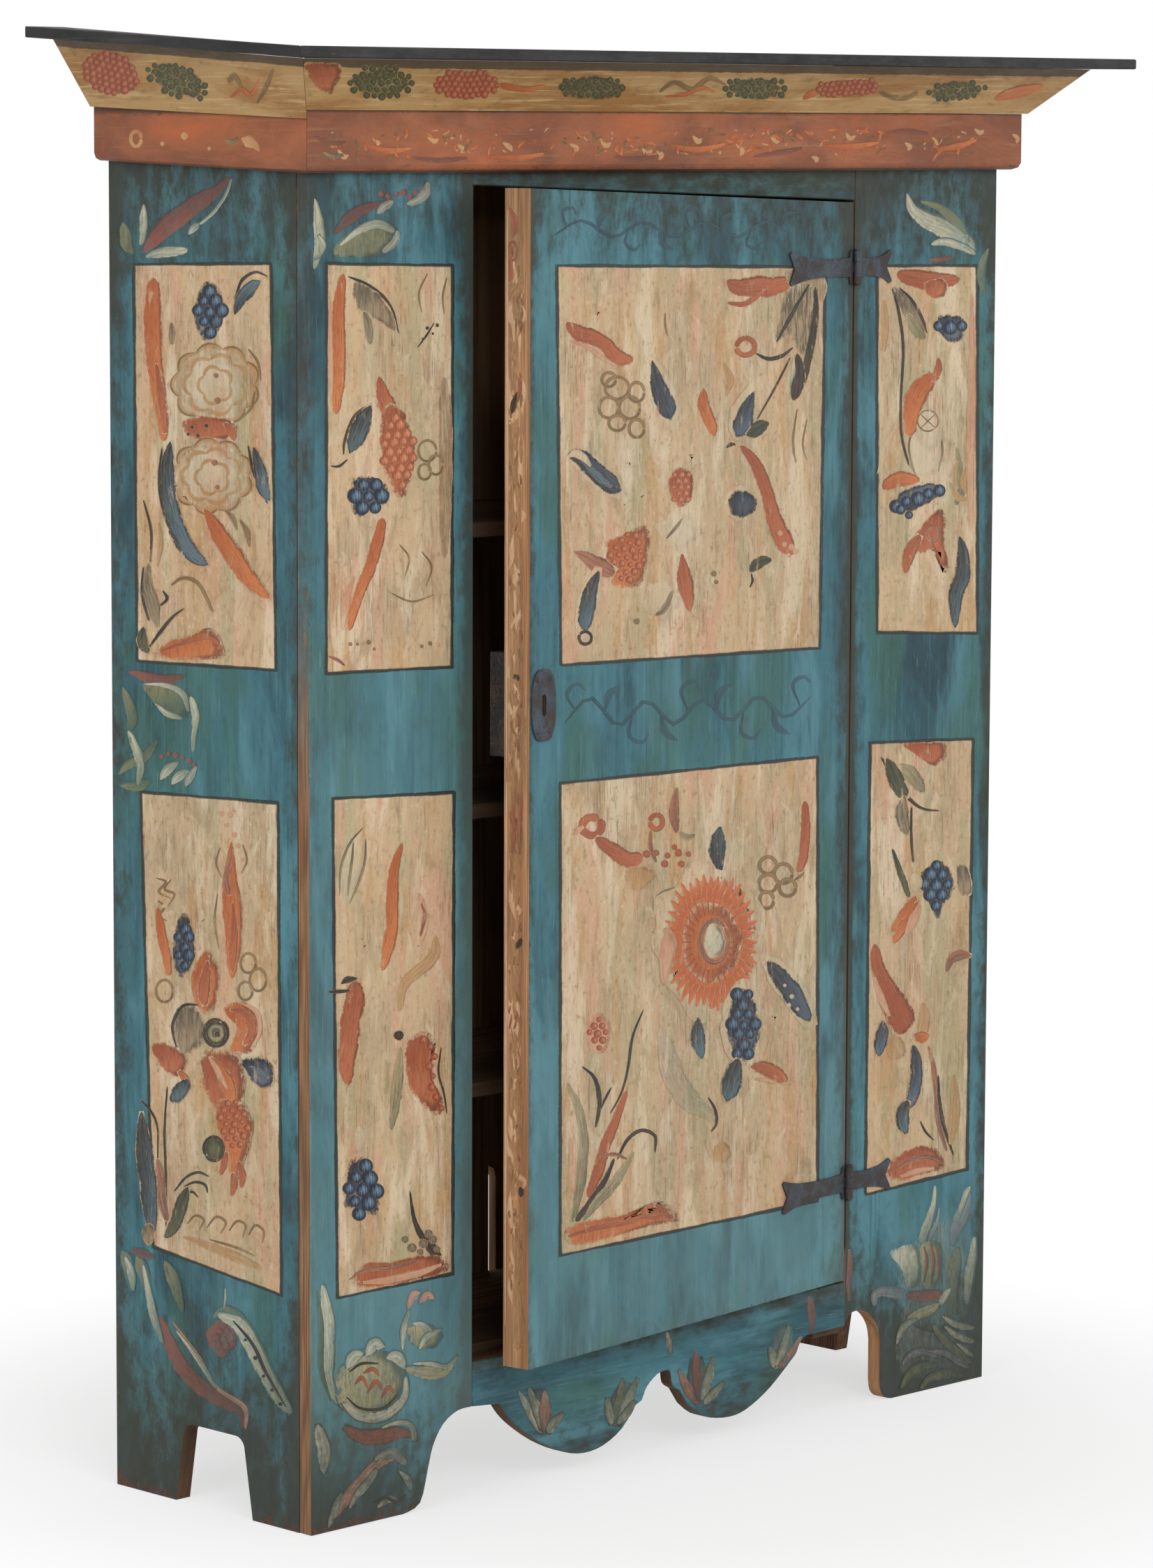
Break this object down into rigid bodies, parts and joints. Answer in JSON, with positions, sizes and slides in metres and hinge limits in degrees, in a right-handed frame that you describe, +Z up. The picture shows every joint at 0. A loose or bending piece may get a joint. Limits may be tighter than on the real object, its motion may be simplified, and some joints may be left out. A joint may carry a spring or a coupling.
{
  "type": "painted cupboard",
  "caption": "Tall painted pine cupboard with a wide projecting cornice, scrolled feet and apron, a hinged plank door with iron hinges and box lock, and shelves inside.",
  "frame": {"origin": "on the floor, under the middle of the overall box, which the lid sets", "axes": "+Z up, the front with the door faces -Y, +X to the right of someone facing the front"},
  "size_m": [1.458, 0.48, 1.7657],
  "materials": {
    "painted_blue": "worn matt blue-green paint with floral panels",
    "painted_brick": "worn matt brick-red paint",
    "painted_cream": "worn matt cream paint with small flowers",
    "painted_dark": "worn matt dark grey paint",
    "bare_pine": "old unpainted pine",
    "wrought_iron": "dark wrought iron, lightly rusted"
  },
  "bodies": {
    "case": {"side_board_left": "painted_blue", "side_board_right": "painted_blue", "front_stile_left": "painted_blue", "front_stile_right": "painted_blue", "front_apron": "painted_blue", "front_rail": "painted_blue", "frieze_front": "painted_brick", "frieze_left": "painted_brick", "frieze_right": "painted_brick", "cornice_front": "painted_cream", "cornice_left": "painted_cream", "cornice_right": "painted_cream", "lid_front": "painted_dark", "lid_left": "painted_dark", "lid_right": "painted_dark", "case_bottom": "bare_pine", "case_top": "bare_pine", "shelf_lower": "bare_pine", "shelf_middle": "bare_pine", "shelf_upper": "bare_pine", "back_board_1": "bare_pine", "back_board_2": "bare_pine", "back_board_3": "bare_pine", "back_board_4": "bare_pine", "back_board_5": "bare_pine", "joint_block_left": "bare_pine", "joint_block_right": "bare_pine", "cornice_rail_back": "bare_pine", "cornice_block_front_1": "bare_pine", "cornice_block_front_2": "bare_pine", "cornice_block_front_3": "bare_pine", "cornice_block_left": "bare_pine", "cornice_block_right": "bare_pine", "lock_keeper": "bare_pine", "hinge_leaf_stile_lower": "wrought_iron", "hinge_leaf_stile_upper": "wrought_iron", "hinge_pin_lower": "wrought_iron", "hinge_pin_upper": "wrought_iron"},
    "door": {"door_board_lock": "painted_blue", "door_board_middle": "painted_blue", "door_board_hinge": "painted_blue", "door_batten_bottom": "bare_pine", "door_batten_middle": "bare_pine", "door_batten_top": "bare_pine", "key_plate": "wrought_iron", "lock_case": "wrought_iron", "hinge_leaf_door_lower": "wrought_iron", "hinge_leaf_door_upper": "wrought_iron"},
    "lock_bolt": {"lock_bolt": "wrought_iron"}
  },
  "joints": [
    {"name": "door_hinge", "type": "hinge", "parent": "case", "child": "door", "pos_m": [0.3285, -0.119, 0], "axis": [0, 0, 1], "range_deg": [-7.5, 172.5]},
    {"name": "bolt_slide", "type": "slide", "parent": "door", "child": "lock_bolt", "axis": [-0.9914, -0.1305, 0], "range_m": [0, 0.016]}
  ]
}
